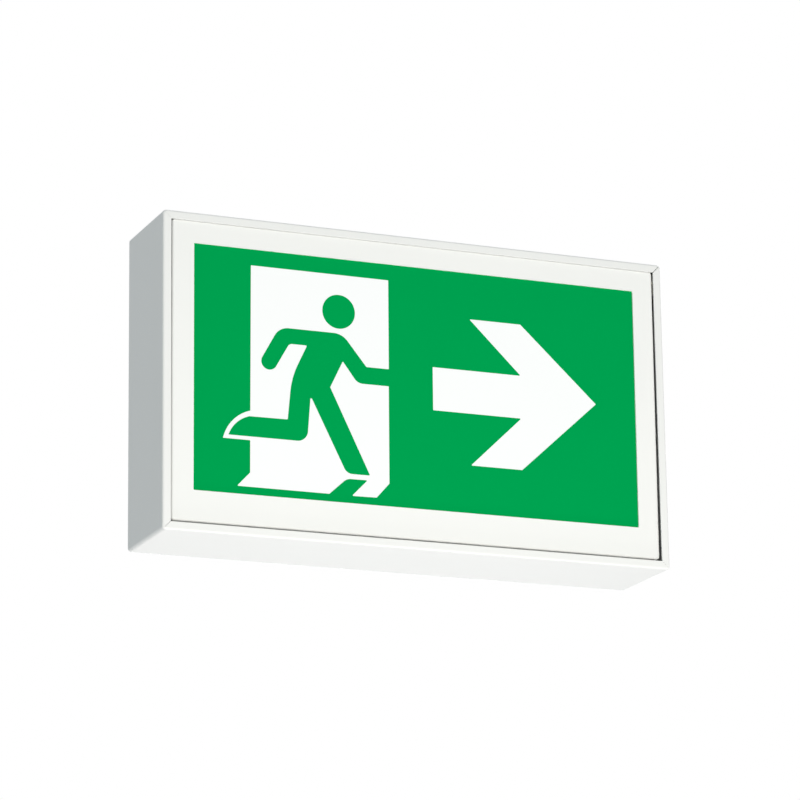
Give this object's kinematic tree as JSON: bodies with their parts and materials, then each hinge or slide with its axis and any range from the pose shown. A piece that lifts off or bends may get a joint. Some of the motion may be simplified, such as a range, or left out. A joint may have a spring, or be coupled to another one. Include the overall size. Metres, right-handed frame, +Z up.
{
  "type": "emergency exit light",
  "caption": "Wall-mounted emergency exit light: shallow white steel box with a top-hinged door frame, backlit green running-figure legend with arrow, battery and converter inside.",
  "frame": {"origin": "centre of the four wall fixings, on the back face that lies on the wall", "axes": "+Z up, +X along the wall to the reader's right, +Y into the wall, so the lit face looks along -Y"},
  "size_m": [0.3458, 0.066, 0.2036],
  "materials": {
    "housing_paint": "satin white powder coat",
    "door_paint": "satin white powder coat",
    "tray_paint": "matt reflector white",
    "zinc_plate": "bright zinc plate",
    "spring_steel": "spring steel strip",
    "opal_acrylic": "opal acrylic sheet",
    "legend_green": "translucent green film",
    "lens_acrylic": "clear acrylic",
    "board_white": "white solder mask",
    "chip_white": "light-emitting package",
    "connector_nylon": "natural nylon",
    "battery_wrap": "heat-shrunk sleeve",
    "converter_case": "grey moulded plastic",
    "terminal_nylon": "natural nylon",
    "brass": "plain brass",
    "rubber_black": "moulded rubber",
    "plug_white": "moulded plastic",
    "catch_plastic": "moulded plastic",
    "magnet": "ferrite and pole plates",
    "switch_black": "moulded plastic",
    "button_red": "moulded plastic",
    "chrome": "chrome plate",
    "status_green": "tinted lamp",
    "lead_red": "PVC insulation",
    "lead_black": "PVC insulation",
    "lead_brown": "PVC insulation",
    "lead_blue": "PVC insulation",
    "lead_earth": "PVC insulation",
    "lead_white": "PVC insulation",
    "lead_violet": "PVC insulation"
  },
  "bodies": {
    "housing": {"housing": "housing_paint", "cable_grommet": "rubber_black", "top_entry_plug": "plug_white", "hinge_brackets": "zinc_plate", "catch_bodies": "catch_plastic", "catch_magnets": "magnet", "gear_tray": "tray_paint", "tray_grommets": "rubber_black", "tray_pillars": "zinc_plate", "tray_screws": "zinc_plate", "led_board_upper": "board_white", "led_board_lower": "board_white", "led_chips": "chip_white", "led_lenses": "lens_acrylic", "led_board_screws": "zinc_plate", "led_connectors": "connector_nylon", "battery_pack": "battery_wrap", "battery_clips": "spring_steel", "converter_case": "converter_case", "converter_lid": "converter_case", "converter_screws": "zinc_plate", "terminal_block": "terminal_nylon", "terminal_screws": "brass", "earth_stud": "zinc_plate", "earth_tag": "brass", "earth_nut_and_washers": "zinc_plate", "test_switch_body": "switch_black", "test_switch_nut": "zinc_plate", "status_light": "status_green", "status_light_holder": "chrome", "battery_lead_positive": "lead_red", "battery_lead_negative": "lead_black", "mains_lead_live": "lead_brown", "mains_lead_neutral": "lead_blue", "earth_lead": "lead_earth", "led_leads_positive": "lead_red", "led_leads_negative": "lead_black", "test_switch_leads": "lead_violet", "status_light_leads": "lead_white"},
    "door": {"door_frame": "door_paint", "hinge_pins": "zinc_plate", "legend_plate": "opal_acrylic", "retaining_strip_upper": "zinc_plate", "retaining_strip_lower": "zinc_plate", "door_studs": "zinc_plate", "strip_nuts": "zinc_plate"},
    "button": {"test_button": "button_red"}
  },
  "joints": [
    {"name": "door_hinge", "type": "hinge", "parent": "housing", "child": "door", "pos_m": [0, -0.06085, 0.0901], "axis": [-1, 0, 0], "range_deg": [0, 100]},
    {"name": "button_press", "type": "slide", "parent": "housing", "child": "button", "axis": [-1, 0, 0], "range_m": [0, 0.0025], "stiffness_N_per_m": 600, "springref_m": -0.001}
  ]
}
